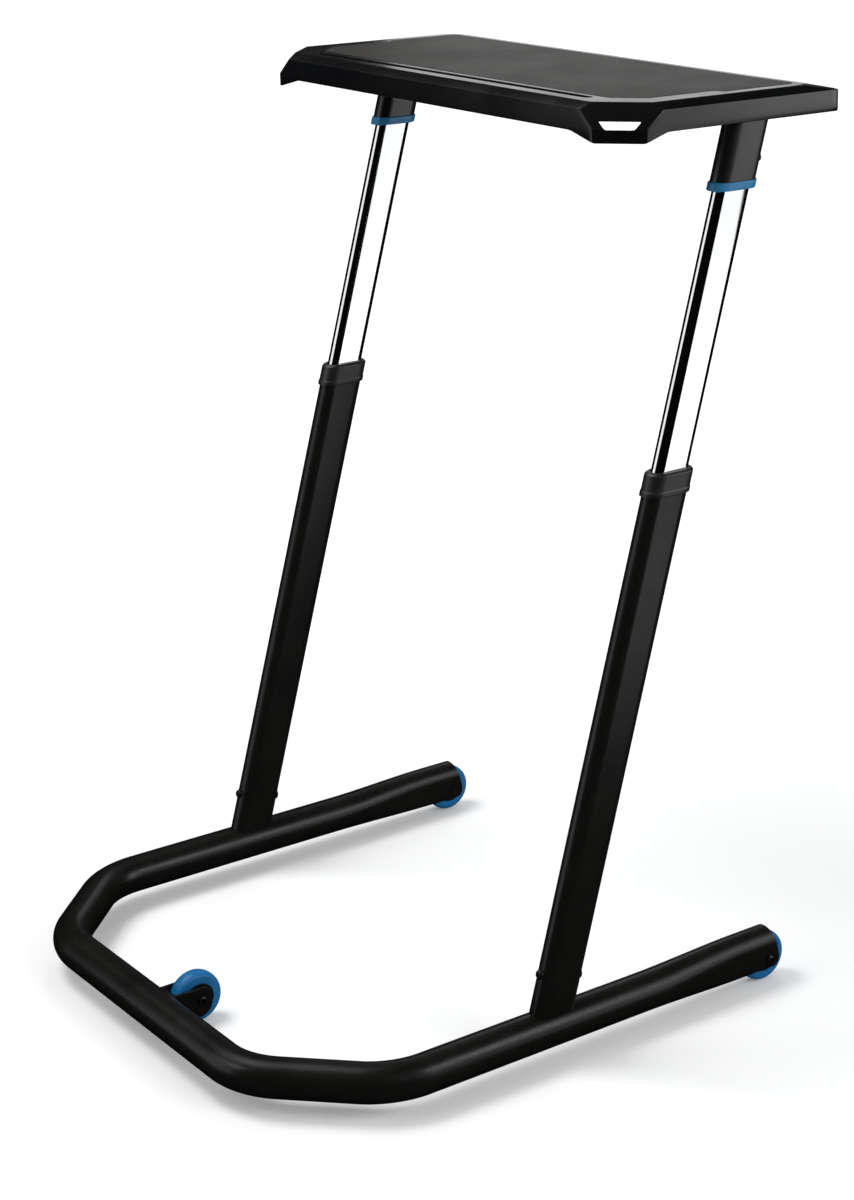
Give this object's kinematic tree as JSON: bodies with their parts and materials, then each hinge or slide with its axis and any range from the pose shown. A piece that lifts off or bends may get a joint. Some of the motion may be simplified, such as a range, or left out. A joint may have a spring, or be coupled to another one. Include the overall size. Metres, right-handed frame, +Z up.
{
  "type": "bike trainer desk",
  "caption": "Height-adjustable desk on a wheeled U-shaped tube base, with leaning telescopic posts and a moulded desktop with slotted corners, a groove and a mat.",
  "frame": {"origin": "on the floor, in the middle of the part's width and depth", "axes": "+X across the desk to its right, +Y from the cross bar towards the rider, +Z up"},
  "size_m": [0.792, 0.8474, 1.2064],
  "materials": {
    "base_frame_paint": "black satin powder coat",
    "inner_post_chrome": "polished chrome plating",
    "fastener_black": "black zinc",
    "black_plastic": "fine-grained black",
    "desktop_plastic": "charcoal, fine grain, soft sheen",
    "desktop_mat": "matte dark grey",
    "blue_trim": "blue, satin",
    "blue_tyre": "blue polyurethane",
    "cast_bracket": "black paint on a casting",
    "plain_steel": "zinc plated",
    "glide_plastic": "natural nylon",
    "brake_lining": "moulded friction lining"
  },
  "bodies": {
    "stand": {"base_tube": "base_frame_paint", "centre_wheel_fork": "base_frame_paint", "centre_wheel_sleeve": "plain_steel", "centre_wheel_axle": "fastener_black", "centre_wheel_nut": "fastener_black", "left_wheel_sleeve": "plain_steel", "left_wheel_axle": "fastener_black", "left_wheel_nut": "fastener_black", "right_wheel_sleeve": "plain_steel", "right_wheel_axle": "fastener_black", "right_wheel_nut": "fastener_black", "left_post_stub": "base_frame_paint", "left_outer_post": "base_frame_paint", "left_foot_bolt": "fastener_black", "left_foot_nut": "fastener_black", "left_post_collar": "black_plastic", "right_post_stub": "base_frame_paint", "right_outer_post": "base_frame_paint", "right_foot_bolt": "fastener_black", "right_foot_nut": "fastener_black", "right_post_collar": "black_plastic"},
    "desk": {"front_desk_rail": "base_frame_paint", "rear_desk_rail": "base_frame_paint", "desktop_shell": "desktop_plastic", "desktop_mat": "desktop_mat", "left_inner_post": "inner_post_chrome", "left_post_glide": "glide_plastic", "left_trim_ring": "blue_trim", "left_top_bracket": "cast_bracket", "left_bracket_screw": "fastener_black", "left_lever_pin": "plain_steel", "left_desk_screw_1": "fastener_black", "left_desk_screw_2": "fastener_black", "right_inner_post": "inner_post_chrome", "right_post_glide": "glide_plastic", "right_trim_ring": "blue_trim", "right_top_bracket": "cast_bracket", "right_bracket_screw": "fastener_black", "right_lever_pin": "plain_steel", "right_desk_screw_1": "fastener_black", "right_desk_screw_2": "fastener_black"},
    "centre_wheel": {"centre_wheel_tyre": "blue_tyre", "centre_wheel_hub": "black_plastic"},
    "left_wheel": {"left_wheel_tyre": "blue_tyre", "left_wheel_hub": "black_plastic"},
    "right_wheel": {"right_wheel_tyre": "blue_tyre", "right_wheel_hub": "black_plastic"},
    "left_lever": {"left_release_lever": "black_plastic"},
    "left_rod": {"left_release_rod": "plain_steel", "left_lock_wedge": "plain_steel"},
    "left_shoe": {"left_brake_shoe": "brake_lining"},
    "right_lever": {"right_release_lever": "black_plastic"},
    "right_rod": {"right_release_rod": "plain_steel", "right_lock_wedge": "plain_steel"},
    "right_shoe": {"right_brake_shoe": "brake_lining"}
  },
  "joints": [
    {"name": "height_slide", "type": "slide", "parent": "stand", "child": "desk", "axis": [0, 0.2706, 0.9627], "range_m": [-0.35, 0.015]},
    {"name": "centre_wheel_spin", "type": "hinge", "parent": "stand", "child": "centre_wheel", "pos_m": [0, -0.32971, 0.0352], "axis": [1, 0, 0], "continuous": true},
    {"name": "left_wheel_spin", "type": "hinge", "parent": "stand", "child": "left_wheel", "pos_m": [-0.37, 0.33329, 0.0352], "axis": [1, 0, 0], "continuous": true},
    {"name": "right_wheel_spin", "type": "hinge", "parent": "stand", "child": "right_wheel", "pos_m": [0.37, 0.33329, 0.0352], "axis": [1, 0, 0], "continuous": true},
    {"name": "left_lever_pivot", "type": "hinge", "parent": "desk", "child": "left_lever", "pos_m": [-0.348, 0.28705, 1.1633], "axis": [0, -0.9627, 0.2706], "range_deg": [0, 15]},
    {"name": "left_rod_slide", "type": "slide", "parent": "desk", "child": "left_rod", "axis": [0, -0.2706, -0.9627], "range_m": [0, 0.0053], "stiffness_N_per_m": 1240, "springref_m": -0.0055},
    {"name": "left_shoe_slide", "type": "slide", "parent": "desk", "child": "left_shoe", "axis": [0, 0.9627, -0.2706], "range_m": [0, 0.0016]},
    {"name": "right_lever_pivot", "type": "hinge", "parent": "desk", "child": "right_lever", "pos_m": [0.348, 0.28705, 1.1633], "axis": [0, 0.9627, -0.2706], "range_deg": [0, 15]},
    {"name": "right_rod_slide", "type": "slide", "parent": "desk", "child": "right_rod", "axis": [0, -0.2706, -0.9627], "range_m": [0, 0.0053], "stiffness_N_per_m": 1240, "springref_m": -0.0055},
    {"name": "right_shoe_slide", "type": "slide", "parent": "desk", "child": "right_shoe", "axis": [0, 0.9627, -0.2706], "range_m": [0, 0.0016]}
  ],
  "couplings": [
    {"joint": "left_lever_pivot", "follows": "left_rod_slide", "rad_per_m": 45.455},
    {"joint": "left_shoe_slide", "follows": "left_rod_slide", "ratio": 0.25},
    {"joint": "right_lever_pivot", "follows": "right_rod_slide", "rad_per_m": 45.455},
    {"joint": "right_shoe_slide", "follows": "right_rod_slide", "ratio": 0.25}
  ]
}
